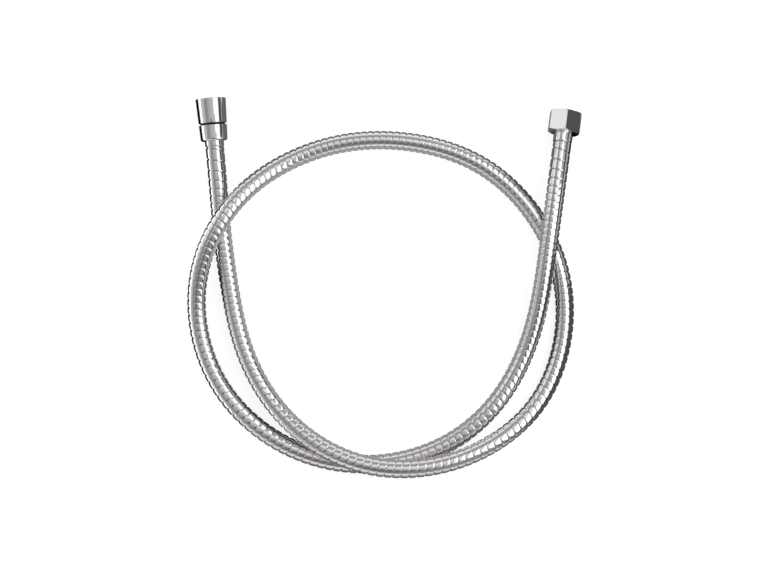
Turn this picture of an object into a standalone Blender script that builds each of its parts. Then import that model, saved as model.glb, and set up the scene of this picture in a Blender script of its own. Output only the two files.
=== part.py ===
"""A flexible metal water hose, 1.5 m long, lying in one and three quarter loops.

One end has a conical nut with a swivel in it, the other a hex nut. Both take a G1/2 thread. Each
fitting is built on its own axis, counted in millimetres from its mouth towards the hose, and an
empty then tilts it into place. The hose is a pipe wound from metal strip round a soft liner.
"""

import math

import bmesh
import bpy
import numpy as np
from mathutils import Matrix, Vector

# All sizes here are in millimetres. MM turns them into Blender's metres where a shape is made.
MM = 0.001

# Clearances
SEAT_GAP = 0.3       # between pieces that bear on each other
RUNNING_GAP = 0.3    # round what turns
O_RING_GAP = 0.15    # round an O-ring in its groove
CRIMP_GAP = 0.3      # round the liner in its ferrule

# Hose
HOSE_OD = 14.0
HOSE_WALL = 1.0      # the folded strip
LINER_OD = 11.2
LINER_WALL = 0.9
HOSE_SIDES_RESOLUTION = 4    # a bevel resolution of 4 is 12 sides
RING_STEP = 24.0     # between the hose's rings, a little under two diameters

# G1/2 pipe thread, which both nuts take. Its own ridges are too fine for this model.
THREAD_MINOR = 18.631
THREAD_LEAD_IN = 1.0

# Sealing washers
WASHER_HOLE = 11.0
WASHER_THICKNESS = 2.0

# Tails, the barbed tubes that hold the hose
WATERWAY = 6.0
FLANGE_THICKNESS = 1.8
TAIL_NECK_OD = 10.6
BARB_VALLEY_OD = 7.8
BARB_CREST_OD = 8.8
BARB_PITCH = 3.0
CONE_TAIL_BARBS = 4
HEX_TAIL_BARBS = 5

# Ferrules, the plain collars between a fitting and the hose
FERRULE_OD = 14.3
FERRULE_LIP = 0.9
FERRULE_EDGE = 0.5
CONE_FERRULE_SHOWN = 4.0
HEX_FERRULE_SHOWN = 7.0

# Conical nut and the sleeve that carries its taper on
CONE_LENGTH = 32.0
CONE_MOUTH_OD = 22.8
CONE_END_OD = 20.1
CONE_NUT_LENGTH = 18.6
CONE_GROOVE = 1.3
CONE_SOCKET_DEPTH = 10.4
CONE_EDGE = 0.4
CONE_END_ROUND = 2.0

# Swivel between the conical nut and the hose
SPIGOT_NECK_OD = 14.4
SLEEVE_LIP = 2.1             # the sleeve's end, which holds the slide ring in
CHAMBER_OD = 11.2
CHAMBER_FLOOR = 2.2
O_RING_GROOVE_OD = 8.0
O_RING_GROOVE_WIDTH = 1.9
TAIL_COLLAR_OD = 16.0
TAIL_COLLAR = 1.6
SLIDE_RING = 1.4

# Hex nut
HEX_ACROSS_FLATS = 23.0
HEX_LENGTH = 16.0
HEX_SOCKET_DEPTH = 9.0
HEX_CHAMFER_FACE = 21.8      # the round land that the 30 degree chamfer leaves at the hose end
HEX_MOUTH_FACE = 24.4        # and at the mouth

# How the fittings lie. The middle of a mouth is counted from a datum at the middle of the loops,
# +X to the right and +Y away from the loops' bottom. A lean is to the right of +Y and a dip is
# how far the mouth points up from the floor.
CONE_MOUTH = (-130.9, 142.9, 11.4)
CONE_LEAN = -4.8
CONE_DIP = 2.4
HEX_MOUTH = (137.2, 132.0, 13.5)
HEX_LEAN = 8.1
HEX_DIP = -7.0
HEX_ROLL = 2.0               # turns the top corner a little to the left
ORIGIN = (3.4, 121.8)        # the plan middle of the two fittings, from the same datum

# The hose runs straight for this much of each fitting's axis, counted from the mouth
CONE_STRAIGHT = 46.0
HEX_STRAIGHT = 34.0

# Middle of the hose from the conical nut to the hex nut, from the same datum. It lies on the
# floor and passes over itself in three long low humps.
ROUTE = [
    (-122.3, 39.7, 7.0),
    (-116.6, -1.6, 7.0),
    (-106.1, -45.8, 7.6),
    (-84.8, -85.6, 11.0),
    (-51.9, -115.9, 18.2),
    (-10.7, -132.9, 22.1),
    (33.9, -133.8, 20.9),
    (76.5, -120.1, 14.8),
    (114.3, -89.4, 8.6),
    (134.8, -41.2, 7.0),
    (133.6, 11.3, 7.0),
    (111.0, 58.9, 7.0),
    (71.7, 94.0, 7.0),
    (21.5, 110.2, 7.0),
    (-31.2, 109.5, 7.0),
    (-73.9, 94.8, 9.5),
    (-101.3, 75.4, 17.0),
    (-120.6, 52.6, 21.9),
    (-134.4, 26.0, 19.6),
    (-141.5, -14.6, 10.5),
    (-127.0, -68.9, 7.0),
    (-92.1, -108.2, 7.0),
    (-44.2, -130.2, 7.0),
    (8.5, -131.5, 7.0),
    (57.4, -112.2, 7.0),
    (89.6, -80.6, 7.0),
    (108.5, -43.6, 9.8),
    (117.6, -7.1, 17.0),
    (122.8, 29.9, 21.6),
]

TURNING_STEPS = 32


def clear_scene():
    """Removes what a new Blender file holds."""
    for obj in list(bpy.data.objects):
        bpy.data.objects.remove(obj, do_unlink=True)


def material(name, colour, roughness, metallic):
    """A Principled material, or the one of that name if it is there already."""
    if name in bpy.data.materials:
        return bpy.data.materials[name]
    made = bpy.data.materials.new(name)
    made.use_nodes = True
    shader = made.node_tree.nodes["Principled BSDF"]
    shader.inputs["Base Color"].default_value = (*colour, 1.0)
    shader.inputs["Roughness"].default_value = roughness
    shader.inputs["Metallic"].default_value = metallic
    return made


def chrome():
    return material("chrome", (0.78, 0.77, 0.78), 0.08, 1.0)


def stainless():
    return material("stainless", (0.66, 0.65, 0.66), 0.16, 1.0)


def brass():
    return material("brass", (0.72, 0.55, 0.26), 0.3, 1.0)


def rubber():
    return material("rubber", (0.03, 0.03, 0.03), 0.7, 0.0)


def liner_plastic():
    return material("liner_plastic", (0.75, 0.76, 0.74), 0.45, 0.0)


def bearing_plastic():
    return material("bearing_plastic", (0.85, 0.84, 0.8), 0.4, 0.0)


def axis_direction(lean, dip):
    """The way that a mouth points: lean degrees right of +Y, and dip degrees up."""
    flat = math.cos(math.radians(dip))
    return Vector((
        math.sin(math.radians(lean)) * flat,
        math.cos(math.radians(lean)) * flat,
        math.sin(math.radians(dip)),
    ))


def placed(point):
    """A point counted from the datum, in metres from the model's origin."""
    return Vector((point[0] - ORIGIN[0], point[1] - ORIGIN[1], point[2])) * MM


def fitting_axis(name, mouth, lean, dip):
    """An empty at a fitting's mouth, whose +Z runs down the fitting's axis to the hose."""
    z_axis = -axis_direction(lean, dip)
    x_axis = z_axis.cross(Vector((0, 0, 1))).normalized()
    y_axis = z_axis.cross(x_axis)
    empty = bpy.data.objects.new(name, None)
    empty.empty_display_size = 0.02
    bpy.context.collection.objects.link(empty)
    turn = Matrix((x_axis, y_axis, z_axis)).transposed().to_4x4()
    empty.matrix_world = Matrix.Translation(placed(mouth)) @ turn
    return empty


def add_object(name, data, surface, axis=None, at=0.0):
    """An object on a fitting's axis, at millimetres from its mouth."""
    data.materials.append(surface)
    obj = bpy.data.objects.new(name, data)
    bpy.context.collection.objects.link(obj)
    if axis:
        obj.parent = axis
        obj.location = (0.0, 0.0, at * MM)
    return obj


def turned_mesh(name, section):
    """A ring made by spinning a closed section, a list of (radius, z), once about Z."""
    bm = bmesh.new()
    corners = [bm.verts.new((radius * MM, 0.0, z * MM)) for radius, z in section]
    sides = [bm.edges.new((a, b)) for a, b in zip(corners, corners[1:] + corners[:1])]
    bmesh.ops.spin(
        bm, geom=corners + sides, cent=(0, 0, 0), axis=(0, 0, 1),
        angle=2 * math.pi, steps=TURNING_STEPS, use_merge=True, use_duplicate=False,
    )
    bmesh.ops.remove_doubles(bm, verts=bm.verts, dist=1e-6)
    bmesh.ops.recalc_face_normals(bm, faces=bm.faces)
    mesh = bpy.data.meshes.new(name)
    bm.to_mesh(mesh)
    bm.free()
    mesh.shade_smooth()
    mesh.set_sharp_from_angle(angle=math.radians(35))
    return mesh


def turned(name, section, surface, axis, at=0.0):
    """A turned piece on a fitting's axis."""
    return add_object(name, turned_mesh(name, section), surface, axis, at)


def rounded_corner(radius, z, round_radius, start, end, steps=4):
    """Points on an arc round a centre at (radius, z), from start to end in degrees."""
    angles = [math.radians(start + (end - start) * i / steps) for i in range(steps + 1)]
    return [
        (radius + round_radius * math.cos(a), z + round_radius * math.sin(a)) for a in angles
    ]


def barbs(start, count):
    """The outside of a barbed shank: each barb falls from its crest towards the shank's end."""
    outline = []
    for i in range(count):
        z = start + i * BARB_PITCH
        outline.append((BARB_VALLEY_OD / 2, z))
        outline.append((BARB_CREST_OD / 2, z + 0.2 * BARB_PITCH))
        outline.append((BARB_CREST_OD / 2, z + 0.4 * BARB_PITCH))
    outline.append((BARB_VALLEY_OD / 2, start + count * BARB_PITCH))
    return outline


# Places along the axes, worked out from the sizes above
BORE_RADIUS = THREAD_MINOR / 2
FLANGE_RADIUS = BORE_RADIUS - RUNNING_GAP
LINER_RADIUS = LINER_OD / 2
FERRULE_HOLE = FERRULE_OD / 2 + RUNNING_GAP
NECK_HOLE = TAIL_NECK_OD / 2 + SEAT_GAP


def flange_place(socket_depth):
    """Where a flange's two faces lie, behind the washer in a socket of that depth."""
    front = socket_depth + WASHER_THICKNESS + SEAT_GAP
    return front, front + FLANGE_THICKNESS


def cone_radius(z):
    """The conical nut's outer radius at z from its mouth."""
    share = z / CONE_LENGTH
    return (CONE_MOUTH_OD + (CONE_END_OD - CONE_MOUTH_OD) * share) / 2


def washer(name, axis, socket_depth):
    """A flat rubber ring that seals the socket's floor."""
    section = [
        (WASHER_HOLE / 2, 0.0),
        (FLANGE_RADIUS, 0.0),
        (FLANGE_RADIUS, WASHER_THICKNESS),
        (WASHER_HOLE / 2, WASHER_THICKNESS),
    ]
    return turned(name, section, rubber(), axis, socket_depth)


def ferrule(name, axis, front, end):
    """A collar squeezed round the liner, with a lip at its front round the tail's neck."""
    outside = FERRULE_OD / 2
    inside = LINER_RADIUS + CRIMP_GAP
    length = end - front
    section = [
        (NECK_HOLE, 0.0),
        (outside, 0.0),
        (outside, length - FERRULE_EDGE),
        (outside - FERRULE_EDGE, length),
        (inside, length),
        (inside, FERRULE_LIP),
        (NECK_HOLE, FERRULE_LIP),
    ]
    return turned(name, section, chrome(), axis, front)


def cone_nut(axis):
    """The threaded half of the cone: a socket, and a lip behind the spigot's flange."""
    shoulder = flange_place(CONE_SOCKET_DEPTH)[1] + SEAT_GAP
    neck_hole = SPIGOT_NECK_OD / 2 + RUNNING_GAP
    end = CONE_NUT_LENGTH
    section = [
        (BORE_RADIUS + THREAD_LEAD_IN, 0.0),
        (cone_radius(0) - CONE_EDGE, 0.0),
        (cone_radius(CONE_EDGE), CONE_EDGE),
        (cone_radius(end - CONE_EDGE), end - CONE_EDGE),
        (cone_radius(end) - CONE_EDGE, end),
        (neck_hole, end),
        (neck_hole, shoulder),
        (BORE_RADIUS, shoulder),
        (BORE_RADIUS, THREAD_LEAD_IN),
    ]
    return turned("cone_nut", section, chrome(), axis)


def swivel_spigot(axis):
    """The flanged tube that the nut pulls on, with a chamber for the tail's O-rings."""
    front, back = flange_place(CONE_SOCKET_DEPTH)
    neck = SPIGOT_NECK_OD / 2
    end = spigot_end()
    section = [
        (WATERWAY / 2, 0.0),
        (FLANGE_RADIUS, 0.0),
        (FLANGE_RADIUS, back - front),
        (neck, back - front),
        (neck, end - front),
        (CHAMBER_OD / 2, end - front),
        (CHAMBER_OD / 2, back - front + CHAMBER_FLOOR),
        (WATERWAY / 2, back - front + CHAMBER_FLOOR),
    ]
    return turned("swivel_spigot", section, chrome(), axis, front)


def slide_ring_place():
    """Where the slide ring lies, in front of the sleeve's lip."""
    back = CONE_LENGTH - SLEEVE_LIP - SEAT_GAP
    return back - SLIDE_RING, back


def tail_collar_place():
    """Where the cone tail's collar lies, in front of the slide ring."""
    back = slide_ring_place()[0] - SEAT_GAP
    return back - TAIL_COLLAR, back


def spigot_end():
    """Where the spigot ends, in front of the tail's collar."""
    return tail_collar_place()[0] - SEAT_GAP


def swivel_sleeve(axis):
    """The plain half of the cone, fixed on the spigot, with a pocket for the tail's collar."""
    front = CONE_NUT_LENGTH + CONE_GROOVE
    lip = slide_ring_place()[1] + SEAT_GAP
    pocket = TAIL_COLLAR_OD / 2 + RUNNING_GAP
    neck_hole = SPIGOT_NECK_OD / 2 + SEAT_GAP
    round_z = CONE_LENGTH - CONE_END_ROUND
    section = [
        (neck_hole, front),
        (cone_radius(front) - CONE_EDGE, front),
        (cone_radius(front + CONE_EDGE), front + CONE_EDGE),
    ]
    section += rounded_corner(cone_radius(round_z) - CONE_END_ROUND, round_z, CONE_END_ROUND, 0, 90)
    section += [
        (FERRULE_HOLE, CONE_LENGTH),
        (FERRULE_HOLE, lip),
        (pocket, lip),
        (pocket, spigot_end()),
        (neck_hole, spigot_end()),
    ]
    section = [(radius, z - front) for radius, z in section]
    return turned("swivel_sleeve", section, chrome(), axis, front)


def cone_tail(axis):
    """The tube that turns in the spigot: two O-ring grooves, a collar, a neck and barbs."""
    front = flange_place(CONE_SOCKET_DEPTH)[1] + CHAMBER_FLOOR + SEAT_GAP
    journal = CHAMBER_OD / 2 - RUNNING_GAP
    collar_front, collar_back = tail_collar_place()
    neck_end = slide_ring_place()[1] + SEAT_GAP + FERRULE_LIP + SEAT_GAP
    section = [(WATERWAY / 2, front), (journal, front)]
    for groove in o_ring_grooves():
        section += [
            (journal, groove),
            (O_RING_GROOVE_OD / 2, groove),
            (O_RING_GROOVE_OD / 2, groove + O_RING_GROOVE_WIDTH),
            (journal, groove + O_RING_GROOVE_WIDTH),
        ]
    section += [
        (journal, collar_front),
        (TAIL_COLLAR_OD / 2, collar_front),
        (TAIL_COLLAR_OD / 2, collar_back),
        (TAIL_NECK_OD / 2, collar_back),
        (TAIL_NECK_OD / 2, neck_end),
    ]
    shank = barbs(neck_end, CONE_TAIL_BARBS)
    section += shank + [(WATERWAY / 2, shank[-1][1])]
    section = [(radius, z - front) for radius, z in section]
    turned("cone_tail", section, brass(), axis, front)
    return neck_end


def o_ring_grooves():
    """Where each O-ring groove of the cone tail starts. Three equal lands part the grooves."""
    front = flange_place(CONE_SOCKET_DEPTH)[1] + CHAMBER_FLOOR + SEAT_GAP
    journal = tail_collar_place()[0] - front
    land = (journal - 2 * O_RING_GROOVE_WIDTH) / 3
    return [front + land, front + 2 * land + O_RING_GROOVE_WIDTH]


def o_rings(axis):
    """Two rubber rings that seal the tail in the spigot while it turns."""
    thickness = (CHAMBER_OD - O_RING_GROOVE_OD) / 2 - 2 * O_RING_GAP
    middle = (CHAMBER_OD + O_RING_GROOVE_OD) / 4
    for name, groove in zip(("front_o_ring", "rear_o_ring"), o_ring_grooves()):
        section = rounded_corner(middle, 0.0, thickness / 2, 0, 315, steps=7)
        turned(name, section, rubber(), axis, groove + O_RING_GROOVE_WIDTH / 2)


def slide_ring(axis):
    """A plastic ring that the tail's collar turns on."""
    front, back = slide_ring_place()
    section = [
        (NECK_HOLE, 0.0),
        (TAIL_COLLAR_OD / 2, 0.0),
        (TAIL_COLLAR_OD / 2, back - front),
        (NECK_HOLE, back - front),
    ]
    return turned("slide_ring", section, bearing_plastic(), axis, front)


def hex_nut(axis):
    """A chamfered ring with a socket, cut to six flats by a hexagonal bar."""
    corner = HEX_ACROSS_FLATS / math.sqrt(3)
    slope = math.tan(math.radians(30))
    mouth_chamfer = (corner - HEX_MOUTH_FACE / 2) * slope
    hose_chamfer = (corner - HEX_CHAMFER_FACE / 2) * slope
    shoulder = flange_place(HEX_SOCKET_DEPTH)[1] + SEAT_GAP
    section = [
        (BORE_RADIUS + THREAD_LEAD_IN, 0.0),
        (HEX_MOUTH_FACE / 2, 0.0),
        (corner + 0.5, mouth_chamfer + 0.5 * slope),
        (corner + 0.5, HEX_LENGTH - hose_chamfer - 0.5 * slope),
        (HEX_CHAMFER_FACE / 2, HEX_LENGTH),
        (FERRULE_HOLE, HEX_LENGTH),
        (FERRULE_HOLE, shoulder),
        (BORE_RADIUS, shoulder),
        (BORE_RADIUS, THREAD_LEAD_IN),
    ]
    nut = turned("hex_nut", section, chrome(), axis)
    bm = bmesh.new()
    bmesh.ops.create_cone(
        bm, cap_ends=True, segments=6, radius1=corner * MM, radius2=corner * MM,
        depth=2 * HEX_LENGTH * MM,
    )
    bar_mesh = bpy.data.meshes.new("hex_bar")
    bm.to_mesh(bar_mesh)
    bm.free()
    bar = add_object("hex_bar", bar_mesh, chrome(), axis, HEX_LENGTH / 2)
    bar.rotation_euler = (0.0, 0.0, math.radians(HEX_ROLL))
    bar.hide_render = True
    bar.display_type = "WIRE"
    cut = nut.modifiers.new("six_flats", "BOOLEAN")
    cut.operation = "INTERSECT"
    cut.solver = "EXACT"
    cut.object = bar
    return nut


def hex_tail(axis):
    """A flange for the hex nut to pull on, a neck and barbs, in one turned piece."""
    front, back = flange_place(HEX_SOCKET_DEPTH)
    neck_end = back + SEAT_GAP + FERRULE_LIP + SEAT_GAP
    shank = barbs(neck_end, HEX_TAIL_BARBS)
    section = [
        (WATERWAY / 2, front),
        (FLANGE_RADIUS, front),
        (FLANGE_RADIUS, back),
        (TAIL_NECK_OD / 2, back),
        (TAIL_NECK_OD / 2, neck_end),
    ]
    section += shank + [(WATERWAY / 2, shank[-1][1])]
    section = [(radius, z - front) for radius, z in section]
    turned("hex_tail", section, brass(), axis, front)
    return neck_end


def along_axis(axis, z):
    """A point on a fitting's axis in metres, z millimetres from its mouth."""
    return np.array(axis.matrix_world @ Vector((0.0, 0.0, z * MM)))


def smooth_curve(points, start_way, end_way, samples=3000):
    """One cubic curve through all the points, with no jump in its bend, and its end directions.

    The slope at each point comes from solving one row of equations in which the curvature on
    both sides of the point is the same.
    """
    knots = np.concatenate([[0.0], np.cumsum(np.linalg.norm(np.diff(points, axis=0), axis=1))])
    spans = np.diff(knots)
    rises = np.diff(points, axis=0) / spans[:, None]
    count = len(points)
    matrix = np.eye(count)
    wanted = np.zeros((count, 3))
    wanted[0] = start_way
    wanted[-1] = end_way
    for i in range(1, count - 1):
        before, after = spans[i - 1], spans[i]
        matrix[i, i - 1:i + 2] = (after, 2 * (before + after), before)
        wanted[i] = 3 * (after * rises[i - 1] + before * rises[i])
    slopes = np.linalg.solve(matrix, wanted)
    places = np.linspace(0.0, knots[-1], samples)
    span = np.clip(np.searchsorted(knots, places, side="right") - 1, 0, count - 2)
    u = ((places - knots[span]) / spans[span])[:, None]
    width = spans[span][:, None]
    return (
        points[span] * (1 + 2 * u) * (1 - u) ** 2
        + points[span + 1] * u * u * (3 - 2 * u)
        + slopes[span] * width * u * (1 - u) ** 2
        - slopes[span + 1] * width * u * u * (1 - u)
    )


def hose_line(cone_axis, hex_axis, cone_start, hex_start):
    """The rings' middles: straight out of each fitting, and the smooth route between."""
    cone_way = np.array(cone_axis.matrix_world.to_3x3().col[2])
    hex_way = -np.array(hex_axis.matrix_world.to_3x3().col[2])
    leave = along_axis(cone_axis, CONE_STRAIGHT)
    arrive = along_axis(hex_axis, HEX_STRAIGHT)
    points = np.array([leave, *[np.array(placed(point)) for point in ROUTE], arrive])
    curve = smooth_curve(points, cone_way, hex_way)
    curve[:, 2] = np.maximum(curve[:, 2], HOSE_OD / 2 * MM)
    run = np.concatenate([[0.0], np.cumsum(np.linalg.norm(np.diff(curve, axis=0), axis=1))])
    rings = max(2, round(run[-1] / (RING_STEP * MM)) + 1)
    at = np.linspace(0.0, run[-1], rings)
    middle = np.stack([np.interp(at, run, curve[:, k]) for k in range(3)], axis=1)
    start = along_axis(cone_axis, cone_start)
    end = along_axis(hex_axis, hex_start)
    return np.vstack([start, middle, end])


def pipe(name, line, outside, wall, surface):
    """A pipe along a line: a curve with a round bevel, made hollow by Solidify."""
    curve = bpy.data.curves.new(name, "CURVE")
    curve.dimensions = "3D"
    curve.bevel_depth = outside / 2 * MM
    curve.bevel_resolution = HOSE_SIDES_RESOLUTION
    spline = curve.splines.new("POLY")
    spline.points.add(len(line) - 1)
    for point, place in zip(spline.points, line):
        point.co = (*place, 1.0)
    obj = add_object(name, curve, surface)
    shell = obj.modifiers.new("wall", "SOLIDIFY")
    shell.thickness = wall * MM
    shell.offset = -1.0
    shell.use_even_offset = True
    return obj


def build_cone_end(axis):
    """Everything on the conical end. Returns where the ferrule ends and where the liner starts."""
    cone_nut(axis)
    washer("cone_washer", axis, CONE_SOCKET_DEPTH)
    swivel_spigot(axis)
    swivel_sleeve(axis)
    neck_end = cone_tail(axis)
    o_rings(axis)
    slide_ring(axis)
    ferrule_end = CONE_LENGTH + CONE_FERRULE_SHOWN
    ferrule("cone_ferrule", axis, slide_ring_place()[1] + SEAT_GAP, ferrule_end)
    return ferrule_end + SEAT_GAP, neck_end + SEAT_GAP


def build_hex_end(axis):
    """Everything on the hex nut's end. Returns the same two places."""
    hex_nut(axis)
    washer("hex_washer", axis, HEX_SOCKET_DEPTH)
    neck_end = hex_tail(axis)
    ferrule_end = HEX_LENGTH + HEX_FERRULE_SHOWN
    ferrule("hex_ferrule", axis, flange_place(HEX_SOCKET_DEPTH)[1] + SEAT_GAP, ferrule_end)
    return ferrule_end + SEAT_GAP, neck_end + SEAT_GAP


def main():
    clear_scene()
    cone_axis = fitting_axis("cone_axis", CONE_MOUTH, CONE_LEAN, CONE_DIP)
    hex_axis = fitting_axis("hex_axis", HEX_MOUTH, HEX_LEAN, HEX_DIP)
    bpy.context.view_layer.update()
    cone_hose, cone_liner = build_cone_end(cone_axis)
    hex_hose, hex_liner = build_hex_end(hex_axis)
    hose = hose_line(cone_axis, hex_axis, cone_hose, hex_hose)
    liner = hose_line(cone_axis, hex_axis, cone_liner, hex_liner)
    pipe("metal_hose", hose, HOSE_OD, HOSE_WALL, stainless())
    pipe("inner_tube", liner, LINER_OD, LINER_WALL, liner_plastic())


main()
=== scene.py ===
# %% [markdown]
# # A flexible metal water hose
#
# The object is a chrome-bright hose of the kind that feeds a hand shower: a soft tube inside a
# pipe wound from folded metal strip, with a conical swivel nut on one end and a hex nut on the
# other. It lies on a white floor in one and three quarter loops and is seen from straight above.
#
# The lesson starts from a fixed frame, the plain model. Each plain piece either gets a better
# finish or gives way to a finer surface that stands where it stood. A surface here is a grid of
# points worked out by a formula, all points at once.

import math

import bpy
import numpy as np
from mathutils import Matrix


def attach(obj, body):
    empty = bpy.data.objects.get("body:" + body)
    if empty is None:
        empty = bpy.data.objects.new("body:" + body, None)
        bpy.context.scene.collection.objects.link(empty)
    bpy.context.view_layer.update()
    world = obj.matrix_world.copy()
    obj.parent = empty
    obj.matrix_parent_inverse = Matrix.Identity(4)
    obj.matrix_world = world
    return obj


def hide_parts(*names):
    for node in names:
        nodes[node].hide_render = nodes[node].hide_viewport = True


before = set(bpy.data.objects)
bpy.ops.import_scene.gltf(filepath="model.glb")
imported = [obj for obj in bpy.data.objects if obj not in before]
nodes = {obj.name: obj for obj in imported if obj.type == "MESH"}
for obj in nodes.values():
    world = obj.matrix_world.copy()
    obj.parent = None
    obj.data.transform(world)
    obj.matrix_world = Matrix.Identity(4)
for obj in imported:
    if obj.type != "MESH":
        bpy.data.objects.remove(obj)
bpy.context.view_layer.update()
MM = 0.001

# %% [markdown]
# ## Where things lie
#
# The plain model was laid out from a datum in the middle of the loops, in millimetres. The same
# datum serves here, for the route of the hose and for the camera that looks down on it. Each
# fitting has an axis: the middle of its mouth, and the way from there down to the hose.


# %% Datum and axes
ORIGIN = np.array([3.4, 121.8, 0.0])


def placed(point):
    """Metres from the model's origin, for millimetres from the datum."""
    return (np.asarray(point, float) - ORIGIN) * MM


def unit(vector):
    """The same direction with length one."""
    vector = np.asarray(vector, float)
    return vector / np.linalg.norm(vector)


class Axis:
    """A fitting's axis: its mouth, the way down to the hose, and two directions across it."""

    def __init__(self, mouth, lean, dip):
        flat = math.cos(math.radians(dip))
        outward = np.array([
            math.sin(math.radians(lean)) * flat,
            math.cos(math.radians(lean)) * flat,
            math.sin(math.radians(dip)),
        ])
        self.mouth = placed(mouth)
        self.along = -outward
        self.side = unit(np.cross(self.along, [0.0, 0.0, 1.0]))
        self.across = np.cross(self.along, self.side)

    def at(self, depth):
        """The point of the axis that lies depth millimetres inside the mouth."""
        return self.mouth + self.along * depth * MM

    def points(self, radius, angle, depth):
        """Points at radius and depth in millimetres and angle in radians, arrays of one shape."""
        out = np.cos(angle)[..., None] * self.side + np.sin(angle)[..., None] * self.across
        return self.mouth + (out * radius[..., None] + self.along * depth[..., None]) * MM


cone_axis = Axis(mouth=(-130.9, 142.9, 11.4), lean=-4.8, dip=2.4)
hex_axis = Axis(mouth=(137.2, 132.0, 13.5), lean=8.1, dip=-7.0)
print("cone mouth", cone_axis.mouth.round(4), "hex mouth", hex_axis.mouth.round(4))

# %% [markdown]
# ## The camera
#
# The photograph looks straight down from about 1.2 m, which shows in how little the two fittings
# are seen from the side. The lens follows from the scale: 1.32 pixels to a millimetre at the
# height of the hose's middle.

# %% Camera
CAMERA_HEIGHT = 1.2
PIXELS_PER_MM = 1.32
PICTURE_WIDTH = 768
SENSOR_WIDTH = 36.0
HOSE_OD = 14.0

camera_data = bpy.data.cameras.new("camera")
camera = bpy.data.objects.new("camera", camera_data)
bpy.context.scene.collection.objects.link(camera)
bpy.context.scene.camera = camera
camera.location = (*placed((0.0, 0.0, 0.0))[:2], CAMERA_HEIGHT)
focal_pixels = PIXELS_PER_MM / MM * (CAMERA_HEIGHT - HOSE_OD / 2 * MM)
camera_data.sensor_width = SENSOR_WIDTH
camera_data.lens = focal_pixels * SENSOR_WIDTH / PICTURE_WIDTH
print("lens", round(camera_data.lens, 2), "mm")

# %% [markdown]
# ## The hose's route
#
# A hose lies in one smooth line: its bend can't jump. A cubic curve through a few points, with
# the slope at each point chosen so that the bend is the same on both of its sides, has just that
# quality. A curve object with handles set by hand would pass through the same points, but its bend
# would jump at each handle, and the metal's reflections show every jump.
#
# The points repeat the plain model's, in millimetres from the datum. Where the hose passes over
# itself it does so in a long low hump, and it never dips into the floor. Next to each fitting it is
# straight.

# %% Route
ROUTE = [
    (-122.3, 39.7, 7.0),
    (-116.6, -1.6, 7.0),
    (-106.1, -45.8, 7.6),
    (-84.8, -85.6, 11.0),
    (-51.9, -115.9, 18.2),
    (-10.7, -132.9, 22.1),
    (33.9, -133.8, 20.9),
    (76.5, -120.1, 14.8),
    (114.3, -89.4, 8.6),
    (134.8, -41.2, 7.0),
    (133.6, 11.3, 7.0),
    (111.0, 58.9, 7.0),
    (71.7, 94.0, 7.0),
    (21.5, 110.2, 7.0),
    (-31.2, 109.5, 7.0),
    (-73.9, 94.8, 9.5),
    (-101.3, 75.4, 17.0),
    (-120.6, 52.6, 21.9),
    (-134.4, 26.0, 19.6),
    (-141.5, -14.6, 10.5),
    (-127.0, -68.9, 7.0),
    (-92.1, -108.2, 7.0),
    (-44.2, -130.2, 7.0),
    (8.5, -131.5, 7.0),
    (57.4, -112.2, 7.0),
    (89.6, -80.6, 7.0),
    (108.5, -43.6, 9.8),
    (117.6, -7.1, 17.0),
    (122.8, 29.9, 21.6),
]
CONE_STRAIGHT = 46.0
HEX_STRAIGHT = 34.0
CONE_HOSE_START = 36.3
HEX_HOSE_START = 23.3


def smooth_curve(points, start_way, end_way, samples=4000):
    """One curve through all the points, with an unbroken bend and the given end directions.

    Between two points it is the cubic with the slopes that belong to them. The slopes solve one
    set of linear equations, which say that the bend is the same on both sides of each point.
    """
    knots = np.concatenate([[0.0], np.cumsum(np.linalg.norm(np.diff(points, axis=0), axis=1))])
    spans = np.diff(knots)
    rises = np.diff(points, axis=0) / spans[:, None]
    before, after = spans[:-1], spans[1:]
    rows = np.arange(1, len(points) - 1)
    matrix = np.eye(len(points))
    matrix[rows, rows - 1] = after
    matrix[rows, rows] = 2 * (before + after)
    matrix[rows, rows + 1] = before
    wanted = np.zeros((len(points), 3))
    wanted[0] = start_way
    wanted[-1] = end_way
    wanted[1:-1] = 3 * (after[:, None] * rises[:-1] + before[:, None] * rises[1:])
    slopes = np.linalg.solve(matrix, wanted)
    places = np.linspace(0.0, knots[-1], samples)
    span = np.clip(np.searchsorted(knots, places, side="right") - 1, 0, len(points) - 2)
    u = ((places - knots[span]) / spans[span])[:, None]
    width = spans[span][:, None]
    return (
        points[span] * (1 + 2 * u) * (1 - u) ** 2
        + points[span + 1] * u * u * (3 - 2 * u)
        + slopes[span] * width * u * (1 - u) ** 2
        - slopes[span + 1] * width * u * u * (1 - u)
    )


free_ends = np.array([cone_axis.at(CONE_STRAIGHT), *placed(ROUTE), hex_axis.at(HEX_STRAIGHT)])
free_run = smooth_curve(free_ends, cone_axis.along, -hex_axis.along)
free_run[:, 2] = np.maximum(free_run[:, 2], HOSE_OD / 2 * MM)
route = np.vstack([cone_axis.at(CONE_HOSE_START), free_run, hex_axis.at(HEX_HOSE_START)])
route_run = np.concatenate([[0.0], np.cumsum(np.linalg.norm(np.diff(route, axis=0), axis=1))])
hose_length = float(route_run[-1])
print("hose between the ferrules:", round(hose_length, 4), "m")


# %% [markdown]
# ## From a grid of points to a mesh
#
# Every finer surface below is a grid: rows along the piece, columns round it. The points could be
# added one by one, but whole arrays are shorter to write and much faster. One helper turns such a
# grid into a mesh, closing it round the piece, and another puts the finished mesh into the scene in
# the place of the plain piece it stands for.


# %% Mesh helpers
def enclosed(points, quads):
    """Six times the volume inside the faces, which is negative when they face inwards."""
    a, b, c, d = (points[quads[:, k]] for k in range(4))
    return float(np.sum(np.cross(b - a, c - a) * a) + np.sum(np.cross(c - a, d - a) * a))


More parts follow.
